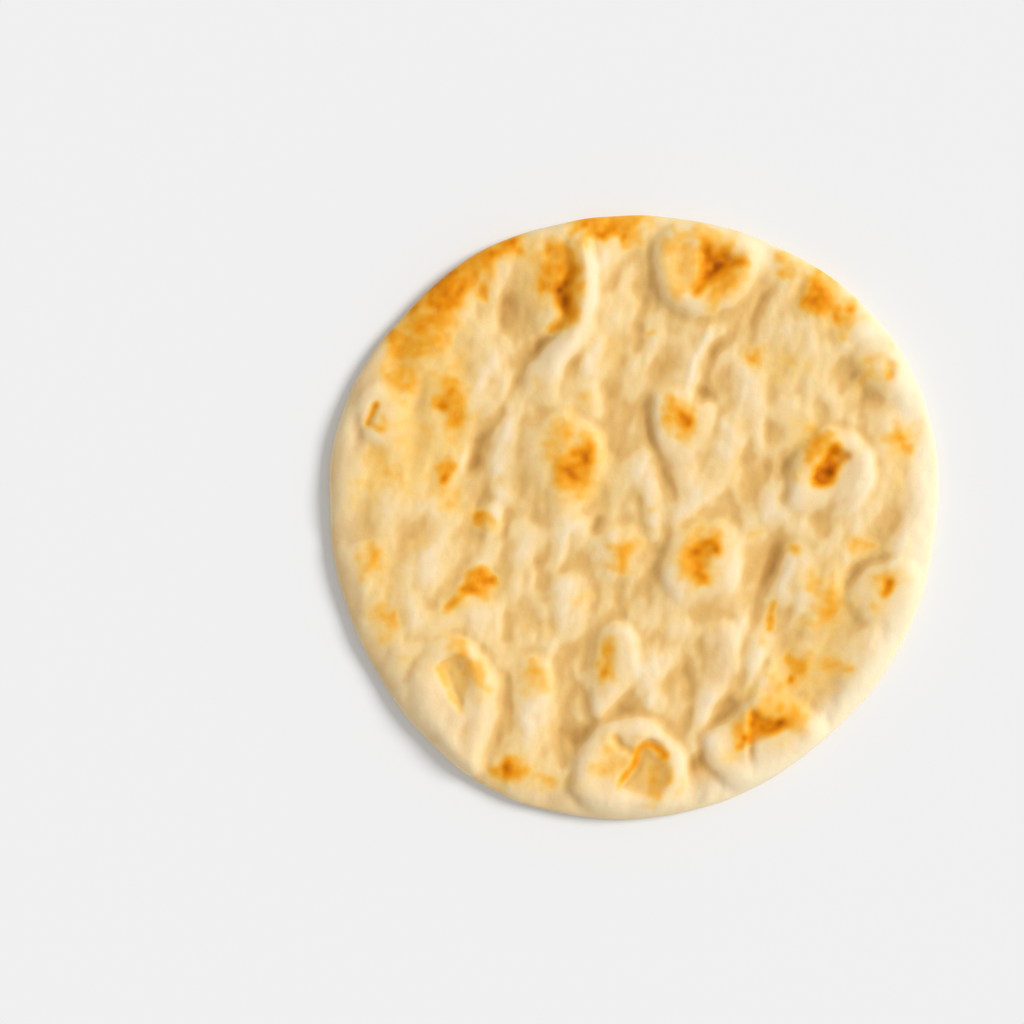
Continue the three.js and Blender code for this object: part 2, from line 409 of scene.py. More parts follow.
def raisedBlisters():
    # the height that the blisters add, where their skin is tight, and the seam round each foot
    height = np.zeros_like(placeX)
    tight = np.zeros_like(placeX)
    seam = np.zeros_like(placeX)
    for blister in blisters.values():
        loop = smoothLine(blister["foot"], closed=True)
        patch = patchAround(loop, 6)
        far, held, towards, _ = lineDistance(loop, placeX[patch], placeY[patch], closed=True)
        depth = np.where(held, far, 0)
        left, right = blister["sides"]
        side = left + (right - left) * smoothStep(-0.7, 0.7, towards)
        climb = 1 - np.clip(depth / side, 0, 1)
        raised = blister["rise"] * (0.85 * (1 - climb**2) + 0.15 * (1 - climb**4))
        raised -= blister["dip"] * smoothStep(4.5, 10, depth)
        taut = smoothStep(0, 5, depth)
        pinched = min(1, blister["rise"] / 2.5) * np.exp(-((np.where(held, far, far - 0.6) / 1.3) ** 2))
        if "fade" in blister:
            start, stop = (np.array(p, float) for p in blister["fade"])
            way = stop - start
            gone = (placeX[patch] - start[0]) * way[0] + (placeY[patch] - start[1]) * way[1]
            share = gone / (way @ way)
            raised *= smoothStep(0, 1, share)
            taut *= smoothStep(0, 1, share)
            pinched *= smoothStep(0, 1, share)
        height[patch] = np.maximum(height[patch], raised)
        tight[patch] = np.maximum(tight[patch], taut)
        seam[patch] = np.maximum(seam[patch], pinched)
    return height, tight, seam


def runLength(held, axis, backwards):
    # how far each held place is from the edge it would reach going one way
    order = np.flip(held, axis) if backwards else held
    steps = np.cumsum(np.ones_like(order, int), axis)
    gaps = np.maximum.accumulate(np.where(order, 0, steps), axis)
    run = (steps - gaps) * cell
    return np.flip(run, axis) if backwards else run


def cutCraters():
    # how deep the burst middles are, and how browned their floors
    depth = np.zeros_like(placeX)
    browned = np.zeros_like(placeX)
    for crater in craters.values():
        loop = smoothLine(crater["edge"], closed=True, steps=4)
        patch = patchAround(loop, 2)
        held = lineDistance(loop, placeX[patch], placeY[patch], closed=True)[1]
        leftWall, rightWall = crater["walls"]
        carved = smoothStep(0, leftWall, runLength(held, 1, False))
        carved *= smoothStep(0, rightWall, runLength(held, 1, True))
        carved *= smoothStep(0, leftWall + 1.6, runLength(held, 0, False))
        carved *= smoothStep(0, leftWall + 1.6, runLength(held, 0, True))
        depth[patch] = np.maximum(depth[patch], crater["deep"] * carved)
        browned[patch] = np.maximum(browned[patch], crater["browned"] * np.sqrt(carved))
    return depth, browned


def pressedLines(lines):
    # soft grooves, wider on one side, that die out at both ends
    total = np.zeros_like(placeX)
    for points, deep, left, right in lines:
        line = smoothLine(points)
        patch = patchAround(line, 3 * max(left, right))
        far, _, towards, share = lineDistance(line, placeX[patch], placeY[patch])
        width = left + (right - left) * smoothStep(-0.8, 0.8, -towards)
        ends = smoothStep(-0.1, 0.22, share) * smoothStep(-0.1, 0.22, 1 - share)
        total[patch] = np.maximum(total[patch], deep * ends * np.exp(-((far / width) ** 2)))
    return total


def reliefMap(random):
    skin, swells = foldedSkin(random)
    height, tight, seam = raisedBlisters()
    dents = np.zeros_like(placeX)
    for middle, half, turn, deep in hollows:
        dents += deep * (1 - smoothStep(0, 1, ovalMark(placeX, placeY, middle, half, turn)))
    creased = pressedLines(creases)
    relief = skin * (1 - dough["skinTension"] * tight) + swells * (1 - 0.5 * tight)
    height = softened(height, 0.7)
    relief += height - dents - 0.15 * softened(seam, 0.4)
    broken = 0.85 + 0.15 * doughNoise(random, 16, 16)
    carved, browned = cutCraters()
    relief -= softened(carved, 0.6) + softened(creased * broken, 0.45)
    return relief, height, seam, softened(browned, 0.8)


print("shaping the skin")
random = np.random.default_rng(dough["seed"])
# the seam round each blister's foot, which the colour uses as painted shade
relief, blisterHeight, footSeamShade, brownedFloors = reliefMap(random)


# Marks: x, y, half width and half height.
lightMarks = [
    (3, 87.5, 3, 1.2), (-62, 55, 8, 5), (-68, 47, 4, 5), (-28, 62, 3.5, 7), (-32, 74, 2, 2),
    (28, 65, 3, 2.5), (14, 82, 3, 1.6), (20, 83.2, 5, 1.6), (27, 82.3, 4, 1.6), (14, 74, 5, 6),
    (42, 73, 4, 4), (67, 59, 1.3, 1.3), (59, 56, 2, 2), (60.5, 53.5, 1.5, 1.5), (54, 66, 5, 6.5),
    (34.5, 46.5, 5, 3.8), (70, 46, 3.5, 3.5), (74.5, 49.5, 2.4, 1.6), (73, 39, 2, 2), (67, 38, 2, 2),
    (48, 29, 1.8, 1.8), (51, 43, 2, 3), (45, 45, 3.5, 4), (51, 22, 3, 3.5), (54, 24, 3, 2),
    (82.5, 26, 1.5, 3), (77.5, 10, 1.8, 3), (78, -18.5, 2, 1.4), (48, -14, 1.2, 1.6),
    (47, -18.5, 1.2, 1.6), (36.5, -3.5, 1.2, 1.8), (54, -18.7, 2.4, 2.4), (58, -16, 1.4, 2),
    (57, -29.5, 2.5, 4), (66.3, -38, 1.2, 1), (60, -47, 2.5, 2.5), (13.3, 29.5, 4.6, 5.2),
    (-24.5, 21, 1.5, 2.4), (-16, 33.5, 2, 2.4), (-14.5, 35.5, 2, 2.4), (21, -4.5, 3, 2.4),
    (0.3, -7, 2, 3), (-5, 51.5, 1.5, 2.6), (-7, 46, 1.6, 3), (30, 18, 1.5, 2), (28.5, 11.5, 1.8, 2.6),
    (29.3, 26.5, 1, 2), (22.5, -32, 2, 2), (32.7, -23.3, 0.9, 1.2), (-71.5, 43, 2, 1.6),
    (-69, 44, 2, 1.6), (-72, 38.5, 2, 2.4), (-77, 11.5, 1.5, 2.5), (-73, 14, 2.4, 3.4),
    (-68, 9.5, 1.8, 3), (-82.5, 7, 1.4, 2.4), (-61.3, -6, 1.2, 2), (-63, -9.5, 1.4, 2),
    (-76.3, -8, 2, 2), (-73.5, -14, 2.4, 2.4), (-74, -35, 1.6, 2.6), (-70, -34, 3, 3), (-74, -22, 3, 6),
    (-67, -41, 1.4, 1.4), (-44.5, -46, 1.4, 2), (-43.5, -50.5, 1.4, 2), (-50, -66, 3.4, 2.6),
    (-30, -47, 5, 4), (-17.5, -24, 1.8, 1.8), (-14, -24, 1.8, 1.8), (-31, -31.5, 2, 2),
    (-24.5, -33.5, 2, 2), (-20.5, -59.5, 1.4, 1.4), (6, -80, 1.4, 1.4), (6.5, -84, 1.6, 1),
    (-11, -73, 1.6, 1.6), (6, -73, 3.4, 6), (27.5, -70, 1.8, 1.8), (45.5, -66, 2, 1.2), (36, -58, 7, 5),
    (47, -58, 5, 3.5), (-25, 75, 5, 6), (-50, 31, 4, 6), (-6, 85, 6, 3.4), (55, 19, 6, 6),
    (21, 73, 9, 8), (-52, -45, 7, 9), (20, -11, 7, 9), (-17, 14, 8.5, 9.5), (-2, -69, 9, 8),
    (-66, 33, 3, 5), (44, -45, 6, 6), (73, -20, 5, 5), (-37, -74, 6, 3.6), (-22, -77, 6, 2.4),
    (-7.5, -42, 3, 7), (-62, 16, 5, 8), (-70, 24, 4, 6), (-55, 4, 4, 4), (-76, 2, 5, 6), (-57, 45, 5, 6),
    (60, -24, 5, 5), (-3, -11, 5, 6), (12, 66, 2.5, 5), (64, 65, 4, 3), (78, 20, 4, 5), (66, -8, 6, 3),
    (-45, -20, 7, 5),
]
mediumMarks = [
    (-2, 86.5, 2, 1.2), (-4, 85, 4, 2.6), (1.5, 83, 2, 3), (-60, 57, 5, 3.5), (-54, 54, 1.2, 1.4),
    (-62.3, 51, 1.2, 1.4), (-69, 50, 1.4, 1.8), (-72, 53.5, 1.2, 1.4), (-50.3, 45.4, 1, 1.2),
    (-22.5, 74.5, 3, 4), (-28, 38.5, 3, 2), (22, 63.5, 1.5, 3), (10.5, 78.5, 1.4, 2.2),
    (45.5, 72.5, 0.9, 2), (51.5, 63, 1.6, 2), (56.5, 62.8, 1.2, 1), (61.3, 58.3, 0.9, 1),
    (64, 57, 0.8, 0.8), (54, 66, 3, 4), (68.5, 44, 1.5, 2.2), (65, 41, 1, 1.8), (42, 39, 0.9, 0.9),
    (51, 19, 1.2, 2.5), (46.5, 13, 0.9, 1.1), (76.5, 24, 2.5, 1.5), (75.5, 21.5, 2, 1.8),
    (66.3, -8.3, 1.4, 0.9), (69, -7.8, 1.5, 1), (63.5, -7.5, 1.2, 0.9), (71.5, -17.5, 1.2, 1),
    (69.7, -27, 0.9, 0.9), (33.8, -6, 1.3, 1.2), (51.2, -17.8, 0.9, 0.9), (52.7, -20, 1.1, 1.3),
    (57.3, -24, 1, 1), (55, -27, 2.5, 2), (53, -31, 3, 1.5), (40.3, -27, 1.1, 3.6), (37, -35.5, 0.9, 1),
    (57.5, -40.5, 2, 2), (41, -48.5, 1.1, 0.9), (48, -46, 2.5, 4), (55.5, -44, 2.5, 3),
    (9.5, 31, 1.5, 3), (15, 23.5, 1.8, 2.2), (14, 28.8, 2.8, 2.4), (10.8, 32.8, 1.5, 1.8),
    (-20, 9, 3, 3), (-14.5, 9.5, 1.8, 1.8), (-17, 14, 6, 6.5), (-22, 26, 2, 3), (-19.5, 27, 1.4, 1.4),
    (19, -11, 4, 5), (14.5, -14.5, 2, 2.5), (-5, -14, 1.5, 2.2), (-3.5, -26.7, 1.3, 0.9),
    (-7, -39, 2, 3), (-8.8, -43.5, 1.1, 3), (8, -32.7, 0.8, 0.9), (0, 62, 1.2, 1), (5.5, 4, 1, 1.8),
    (22.5, 8.3, 0.9, 1), (-52.5, 40, 2.4, 2), (-58, 34, 1.8, 1.2), (-49.5, 27.5, 1.2, 1.4),
    (-60.3, 23.5, 1.5, 2.2), (-52.3, 21.3, 1.1, 1.8), (-55, 13.5, 2, 3), (-52.3, 6, 1.3, 1.8),
    (-65, 38.8, 1.6, 1.2), (-63.3, 40, 1.6, 1.2), (-68, 40.5, 1.8, 1.2), (-76.7, 18.5, 1.1, 1.1),
    (-42, -3, 1.4, 1.4), (-45.5, -19, 3, 2.2), (-52, -25.5, 1.8, 0.9), (-55.5, -26.5, 1.4, 0.8),
    (-78, -12.5, 2, 2), (-75.5, -12, 1.6, 1.6), (-79.5, -16.5, 1.4, 1), (-73, -29, 1.3, 1.2),
    (-75.5, -27, 1.6, 1.4), (-52.5, -36, 1.8, 1.6), (-47.5, -44, 1.8, 2.4), (-33, -72, 2.2, 2),
    (-36, -73.5, 3.6, 2.6), (-26.5, -77.5, 1.2, 0.9), (-23, -78, 1.2, 0.9), (-27, -48, 2.2, 2.6),
    (9, -75, 1.2, 2), (-8, -67, 1.6, 2.2), (-6, -72, 1.8, 1.6), (13.7, -78.5, 1.3, 1.1),
    (37, -54.5, 3, 1.8), (46.7, -57, 1.4, 1.2), (48.7, -60, 1.4, 1.2), (30, -63, 1.8, 3),
    (38, -60, 4, 2), (24, 72, 3.4, 4), (56, 14, 2.6, 4.5), (-45, -17, 2.4, 1.6), (-30, -43, 2, 2),
]
strongMarks = [
    (-14, 85.5, 2, 1.8), (-13.5, 83, 1.5, 1.3), (-11, 87, 4, 0.9), (-44, 0, 2, 2), (-23.5, 78, 4, 1.5),
    (-24.5, 72.5, 1.5, 1), (-25.5, 67.5, 2, 1.6), (-19.5, 66, 2.2, 6), (-18.5, 71, 1.8, 3),
    (24, 68, 2.4, 1.6), (26.5, 69.5, 1.6, 1.4), (42.5, 73, 1.2, 2.5), (53.5, 65.5, 1.6, 3),
    (54, 61.8, 2, 1.1), (49.7, 61.5, 1, 1), (54.7, 70.5, 0.9, 1), (62.7, 60.8, 1, 1.3),
    (35, 46.5, 1.3, 2), (74.7, 42.5, 0.8, 2), (78.5, 23, 1.2, 1), (73.4, -20.5, 0.9, 1.6),
    (46.2, -7.8, 1, 1.4), (40, -30.5, 1, 1.6), (46, -41.5, 1.2, 1.1), (49, -43, 1, 1.1),
    (62, -43.3, 0.9, 0.9), (14.4, 28.6, 1.7, 1.5), (12, 31, 1.2, 1.2), (-13.3, 19.5, 1.4, 2.4),
    (-16.5, 19.5, 2, 1.6), (-19, 14.5, 2.2, 1.5), (-18.5, 12, 1, 1), (-21.5, 12, 1, 1), (20, -8, 2, 1.5),
    (22, -8.5, 1.4, 1.4), (17, -10.5, 1.6, 1.4), (-4, -10.5, 2, 1.8), (-9.3, -45.5, 0.9, 1),
    (4.3, 53.7, 1.5, 0.9), (-51.8, 40, 1.2, 1), (-54.5, 36, 1.3, 2), (-52.5, 28.5, 2.2, 1.8),
    (-51.5, 32, 1.6, 1.8), (-55.8, 12, 1.5, 1.8), (-53.7, 14.7, 0.9, 1.3), (-74, 27.4, 0.7, 0.6),
    (-46.5, -19.8, 2.2, 1.3), (-45, -16.3, 1, 1.2), (-42, -18.8, 1.8, 0.9), (-69.5, -29, 1, 1),
    (-50, -37.5, 1, 1), (-37.5, -73.5, 2.6, 1.8), (43, -56, 1, 0.9), (31.5, -65, 1, 1.4),
    (-44.5, 0, 1.6, 1.6), (-17.5, 60, 1.6, 3), (21, 78.5, 1.8, 1.6), (30, 74.5, 1.6, 1.2),
    (-15, 17, 1.4, 2.6),
]
darkMarks = [
    (-8, 83.2, 2.2, 1.2), (-2.7, 81.3, 0.9, 0.9), (-21.6, 67.3, 2.2, 1.1), (-20.4, 62, 1.1, 2.2),
    (18, -14.5, 0.8, 1.6), (19.2, -17.5, 0.7, 1.6), (53, 66.8, 0.9, 0.9), (-54.7, 33, 1.3, 1.2),
    (-56.5, 11, 0.9, 0.9), (-48.8, -20.8, 1.3, 0.9), (14.6, 28.4, 0.9, 0.7), (-38, -74.2, 1.4, 0.9),
    (8.7, -69, 1.1, 0.9), (45, -46.5, 0.8, 0.8), (-35.5, 79, 1.6, 1.1), (-41, 76.5, 1, 0.8),
    (-53.5, 71.5, 1.3, 1), (-56.5, 67.8, 1.2, 1), (-50, 67.8, 1, 0.9), (-44, 66.3, 1.1, 1.4),
    (-60.2, 62.4, 1.2, 0.9), (-52.7, 61.3, 1.2, 0.9), (-54, 64, 1, 0.8), (56.5, 14, 1.3, 2.6),
    (53.2, 10.3, 1.5, 1), (55.9, 65.8, 0.6, 0.5), (53.2, 63.3, 0.9, 0.5), (61.4, 60.6, 0.6, 0.6),
    (59, 58.2, 0.5, 0.6), (42.2, 72.6, 0.5, 0.7), (21.5, -9, 0.9, 0.6), (-16, 18.6, 0.6, 0.8),
    (-19, 13, 0.8, 0.6), (41, -60.5, 2, 0.9),
]

# Marks, how toasted their middle is, and how much of that is a soft halo.
markKinds = [
    (lightMarks, 0.12, 0.6),
    (mediumMarks, 0.16, 0.5),
    (strongMarks, 0.32, 0.32),
    (darkMarks, 0.70, 0.1),
]

# Scorched stretches along the edge: outline and how strong.
scorched = [
    ([(-32, 82), (-33, 78), (-36, 76), (-39, 74.5), (-41, 71), (-43, 68), (-42, 65.5), (-44.5, 64),
      (-46.5, 67.5), (-48.5, 64.5), (-51, 61), (-54, 59.5), (-59, 59.5), (-65, 60.5), (-62, 66), (-57, 70),
      (-52, 74.5), (-45, 79), (-38, 83)], 0.38),
    ([(-40, 79), (-45, 70), (-50, 60), (-56, 50), (-66, 46), (-73, 52), (-64, 63), (-54, 74)], 0.2),
    ([(-17, 89), (-16, 81), (-9, 81), (0, 79.5), (3, 84), (2, 89)], 0.16),
    ([(46, 76), (49, 61), (57, 57), (66, 56), (64, 62), (55, 73)], 0.13),
]

# Burnt lines, and a painted shade line in a crack: points, strength and half width.
burntLines = [
    ([(-17, 72), (-19.5, 69), (-21.5, 66.5), (-21.5, 63), (-20.3, 60.5), (-21, 57.5), (-24, 54.5)],
     0.38, 1.3),
    # the forked blister's cracks: toasting, with painted shade in the cracks
    ([(9, -69.2), (6.3, -66.8), (3.2, -65.9), (1.2, -67.6), (0.6, -70.2), (-0.6, -73), (-3, -75.4),
      (-4.4, -78)], 0.5, 0.4),
    ([(-5.6, -63), (-4.6, -66), (-1.7, -67.6), (0.4, -68.6)], 0.16, 0.5),
    ([(-75, 33), (-77.6, 27.5)], 0.62, 0.5),
    ([(34.2, -57), (34.2, -61), (33.7, -65)], 0.5, 0.6),
    ([(32.3, -64), (30.5, -66.6)], 0.5, 0.6),
    ([(74, -19), (72.6, -22.2)], 0.5, 0.7),
    ([(-12.5, 21), (-13, 17)], 0.35, 0.9),
    ([(40.5, -25), (39.6, -32)], 0.3, 0.8),
    ([(50.5, 17), (53, 21), (56, 24)], 0.25, 1.0),
    ([(20.3, 79.2), (22, 76), (23.6, 72.8), (27, 73.6), (30.5, 74.1)], 0.42, 1.3),
    ([(27.3, 79.2), (25.5, 76), (23.6, 72.8), (20.3, 69), (18, 66.3)], 0.42, 1.3),
    # painted shade in the crack under the teardrop's torn left lip, drawn as a darker line
    ([(-57, -43.5), (-54.8, -48), (-52.8, -52), (-50, -56)], 0.2, 0.5),
    ([(58.5, 20.5), (56, 16.5), (52.5, 11)], 0.45, 1.1),
    ([(-54.5, -26), (-50, -22.8), (-45.5, -19.8), (-41, -18.2)], 0.26, 0.8),
    ([(35, -59), (38, -61), (43, -60)], 0.4, 1.1),
]


def toastMap(random):
    warpX = placeX + 0.7 * doughNoise(random, 9, 9)
    warpY = placeY + 0.7 * doughNoise(random, 9, 9)
    patchy = 0.8 * doughNoise(random, 8, 8) + 0.6 * doughNoise(random, 4.4, 4.4)
    patchy += 0.2 * doughNoise(random, 2.6, 2.6)
    toast = np.zeros_like(placeX)
    for marks, strength, halo in markKinds:
        for x, y, wide, high in marks:
            line = np.array([(x - wide, y - high), (x + wide, y + high)])
            patch = patchAround(line, 9)
            far = ovalMark(warpX[patch], warpY[patch], (x, y), (wide + 0.4, high + 0.4), 0)
            mark = strength * ((1 - halo) * np.exp(-far**2) + halo * np.exp(-0.28 * far**2))
            toast[patch] = 1 - (1 - toast[patch]) * (1 - mark)
    for outline, strength in scorched:
        loop = smoothLine(outline, closed=True)
        far, held, _, _ = lineDistance(loop, warpX, warpY, closed=True)
        depth = np.where(held, far, -far)
        mark = strength * smoothStep(-3.5, 3.5, depth)
        toast = 1 - (1 - toast) * (1 - mark)
    for points, strength, width in burntLines:
        line = smoothLine(points)
        far = lineDistance(line, placeX, placeY)[0]
        toast = 1 - (1 - toast) * (1 - strength * np.exp(-((far / (width + 0.3)) ** 2)))
    toast = 1 - (1 - toast) * (1 - brownedFloors)
    return np.clip(softened(toast, 0.45) * (1 + 0.13 * patchy), 0, 1)


print("toasting")
toastTop = toastMap(random)


underside = {
    "dents": 0.75,  # how far the floor of a dent stands off the table
    "dentSize": 17.0,
    "brownSize": 21.0,
}


def undersideMaps(random):
    # it lies flat where it touched the hot floor, and browned there
    bumps = doughNoise(random, underside["dentSize"], underside["dentSize"] * 1.3, dough["wrinkleLean"])
    dents = underside["dents"] * smoothStep(0.35, 1.9, bumps)
    dents += 0.12 * smoothStep(0.2, 1.6, doughNoise(random, 4.5, 9, dough["wrinkleLean"]))
    brown = 0.6 * doughNoise(random, underside["brownSize"], underside["brownSize"])
    brown += 0.35 * doughNoise(random, 7, 7)
    brown += 0.22 * doughNoise(random, 2.6, 2.6)
    touching = 1 - smoothStep(0.02, 0.4, dents)
    toast = 0.12 + 0.62 * smoothStep(0.35, 1.5, brown) * (0.35 + 0.65 * touching)
    return dents, toast


dentsBelow, toastBelow = undersideMaps(random)


def outlineFromCad():
    # the farthest vertex of the CAD solid in each direction, as a smooth function of the bearing
    corners = np.array([v.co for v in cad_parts["pita"].data.vertices]) / mm
    radius = np.hypot(corners[:, 0], corners[:, 1])
    bearing = np.arctan2(corners[:, 1], corners[:, 0])
    sectors = 96
    slot = np.round(bearing / (2 * math.pi) * sectors).astype(int) % sectors
    widest = np.array([radius[slot == i].max() for i in range(sectors)])
    waves = np.fft.rfft(widest) / sectors
    waves[1:] *= 2
    return waves[:30]


def outlineRadius(waves, bearing):
    radius = np.full(bearing.shape, waves[0].real)
    for n in range(1, len(waves)):
        radius += waves[n].real * np.cos(n * bearing) - waves[n].imag * np.sin(n * bearing)
    return radius


def rimWaves(random, lowest, highest):
    # small seeded unevenness around the edge
    waves = np.zeros(highest, complex)
    for n in range(lowest, highest):
        waves[n] = (random.standard_normal() + 1j * random.standard_normal()) / n**0.9
    return waves / np.abs(waves).sum() * 2.2


def discGrid(cells):
    # a square grid drawn into a disc: distance from the middle, bearing
    steps = np.linspace(-1, 1, cells + 1)
    u, v = np.meshgrid(steps, steps)
    far = np.maximum(np.abs(u), np.abs(v))
    flatter = np.abs(u) >= np.abs(v)
    safeU, safeV = np.where(u == 0, 1, u), np.where(v == 0, 1, v)
    bearing = np.where(flatter, math.pi / 4 * v / safeU, math.pi / 2 - math.pi / 4 * u / safeV)
    signed = np.where(flatter, u, v)
    x, y = signed * np.cos(bearing), signed * np.sin(bearing)
    return far, np.arctan2(y, x)


def roundedEdge(wide, high, power):
    # the section from the waist in to where it is level: how far along it, how far in, and how high
    turn = np.linspace(0, math.pi / 2, 200)
    inwards = wide * (1 - np.cos(turn) ** (2 / power))
    upwards = high * np.sin(turn) ** (2 / power)
    along = np.concatenate([[0], np.cumsum(np.hypot(np.diff(inwards), np.diff(upwards)))])
    return along, inwards, upwards


def surfacePoints(cells, wide, high, power, radiusAt):
    # places spread evenly along the section, so that the rounding gets its share of the mesh
    along, inwards, upwards = roundedEdge(wide, high, power)
    far, bearing = discGrid(cells)
    radius = radiusAt(bearing)
    fromRim = (1 - far) * (radius - wide + along[-1])
    inset = np.interp(fromRim, along, inwards) + np.maximum(fromRim - along[-1], 0)
    level = np.interp(fromRim, along, upwards)
    reachOut = np.maximum(radius - inset, 0)
    return reachOut * np.cos(bearing), reachOut * np.sin(bearing), level, far, bearing


def loafMesh(random):
    waves = outlineFromCad()
    wobble = rimWaves(random, 9, 40)
    heights = rimWaves(random, 2, 14)

    def radiusAt(bearing):
        return outlineRadius(waves, bearing) + dough["rimWobble"] * outlineRadius(wobble, bearing)

    crumb, waist = dough["crumb"], dough["waist"]
    x, y, level, far, bearing = surfacePoints(
        dough["topCells"], dough["shoulder"], crumb - waist, dough["shoulderFullness"], radiusAt
    )
    waistAt = waist + dough["waistWave"] * outlineRadius(heights, bearing)
    onTop = smoothStep(0, crumb - waist, level)
    z = waistAt + level * (crumb - waistAt) / (crumb - waist) + onTop * readMap(relief, x, y)
    top = np.stack([x, y, z], -1)

    bx, by, drop, bottomFar, bottomBearing = surfacePoints(
        dough["bottomCells"], dough["heel"], waist, dough["heelFullness"], radiusAt
    )
    waistBelow = waist + dough["waistWave"] * outlineRadius(heights, bottomBearing)
    flat = smoothStep(waist * 0.7, waist, drop)
    bz = waistBelow * (1 - drop / waist) + flat * readMap(dentsBelow, bx, by)
    bottom = np.stack([bx, by, np.maximum(bz, 0)], -1)
    return top, bottom, far, bottomFar


print("rolling out the loaf")
topPoints, bottomPoints, topFar, bottomFar = loafMesh(random)


def borderLoop(cells):
    # indices of the grid's outer places, once round
    side = cells + 1
    grid = np.arange(side * side).reshape(side, side)
    return np.concatenate([grid[0, :-1], grid[:-1, -1], grid[-1, :0:-1], grid[:0:-1, 0]])


def buildLoaf():
    # the top and the bottom share the vertices of the waist, two steps of the top to one below
    n, m = dough["topCells"], dough["bottomCells"]
    topGrid = np.arange((n + 1) ** 2).reshape(n + 1, n + 1)
    loop = borderLoop(n)
    below = borderLoop(m)
    index = np.full((m + 1) ** 2, -1)
    index[below] = loop[::2]
    free = index < 0
    index[free] = np.arange(free.sum()) + (n + 1) ** 2
    index = index.reshape(m + 1, m + 1)
    points = np.vstack([topPoints.reshape(-1, 3), bottomPoints.reshape(-1, 3)[free]])
    quads = np.stack([topGrid[:-1, :-1], topGrid[:-1, 1:], topGrid[1:, 1:], topGrid[1:, :-1]], -1)
    faces = quads.reshape(-1, 4).tolist()
    between = {(int(a), int(b)): int(c) for a, b, c in zip(loop[::2], np.roll(loop, -2)[::2], loop[1::2])}
    between.update({(b, a): c for (a, b), c in list(between.items())})
    for row in range(m):
        for col in range(m):
            ring = [index[row, col], index[row + 1, col], index[row + 1, col + 1], index[row, col + 1]]
            face = []
            for a, b in zip(ring, ring[1:] + ring[:1]):
                face.append(int(a))
                if (int(a), int(b)) in between:
                    face.append(between[int(a), int(b)])
            faces.append(face)
    mesh = bpy.data.meshes.new("pita_bread")
    mesh.from_pydata((points * mm).tolist(), [], faces)
    mesh.polygons.foreach_set("use_smooth", np.ones(len(mesh.polygons), bool))
    return mesh, free, n * n


def addAttribute(mesh, name, values):
    made = mesh.attributes.new(name, "FLOAT", "POINT")
    made.data.foreach_set("value", values.astype(np.float32))


shading = {  # how much painted shade each of these puts on the dough
    "creases": 1.5,
    "valleys": 0.7,
    "shadeOnLeftSlopes": 0.55,
    "highlightOnRightSlopes": 0.35,
    "shadedFeet": 0.2,
    "shadyRim": 0.12,
    "rimFrom": 0.84,  # where the paler rim starts and is full, as a share of the way out
    "rimFull": 0.94,
    "rimOnTheLeft": 0.35,  # how pale the rim is on the left, against 1 on the right: painted paler towards the light
}


def paintLoaf(mesh, free):
    # what the material reads: toasting; painted shade by how deep a place lies among its neighbours, on
    # slopes facing away from the light and round the foot of each blister, with a painted highlight on
    # slopes facing it; and where the blisters and the rim are
    x, y = topPoints[..., 0], topPoints[..., 1]
    skin = relief - 0.6 * blisterHeight
    # painted shade in creases and valleys, from how far the skin lies below its surroundings
    narrow = softened(skin, 2.2) - softened(skin, 0.3)
    wide = softened(skin, 6) - softened(skin, 1.0)
    # painted shade on slopes rising towards +X, which face away from the light, and a painted highlight on
    # slopes facing it
    rising = np.gradient(softened(relief, 0.9), cell, axis=1)
    slopeShade = shading["shadeOnLeftSlopes"] * np.clip(rising, 0, 1) + shading["highlightOnRightSlopes"] * np.clip(rising, -1, 0)
    paintedShadeMap = shading["creases"] * narrow + shading["valleys"] * wide + slopeShade + shading["shadedFeet"] * footSeamShade
    paintedShade = readMap(paintedShadeMap, x, y)
    puffed = readMap(smoothStep(0.2, 2.4, blisterHeight), x, y)
    # the side towards the light at +X: the rim is painted paler there as a painted highlight
    lit = smoothStep(-40, 75, x)
    edge = smoothStep(shading["rimFrom"], shading["rimFull"], topFar)
    rim = edge * (shading["rimOnTheLeft"] + (1 - shading["rimOnTheLeft"]) * lit)
    below = bottomPoints.reshape(-1, 3)[free]
    zero = np.zeros(len(below))
    belowToast = readMap(toastBelow, below[:, 0], below[:, 1])
    belowRim = smoothStep(0.93, 0.99, bottomFar.reshape(-1)[free])
    belowDent = readMap(dentsBelow, below[:, 0], below[:, 1])
    aboveToast = readMap(toastTop, x, y) * (1 - 0.25 * rim)
    addAttribute(mesh, "toast", np.concatenate([aboveToast.ravel(), belowToast * (1 - belowRim)]))
    # no painted shade on the pale rim, and painted shade on the rim away from the light
    paintedShade = paintedShade * (1 - rim) + shading["shadyRim"] * edge * (1 - lit)
    # the underside's dents get a little painted shade
    addAttribute(mesh, "paintedShade", np.concatenate([paintedShade.ravel(), belowDent * 0.2]))
    addAttribute(mesh, "puffed", np.concatenate([puffed.ravel(), zero]))
    addAttribute(mesh, "rim", np.concatenate([rim.ravel(), belowRim]))


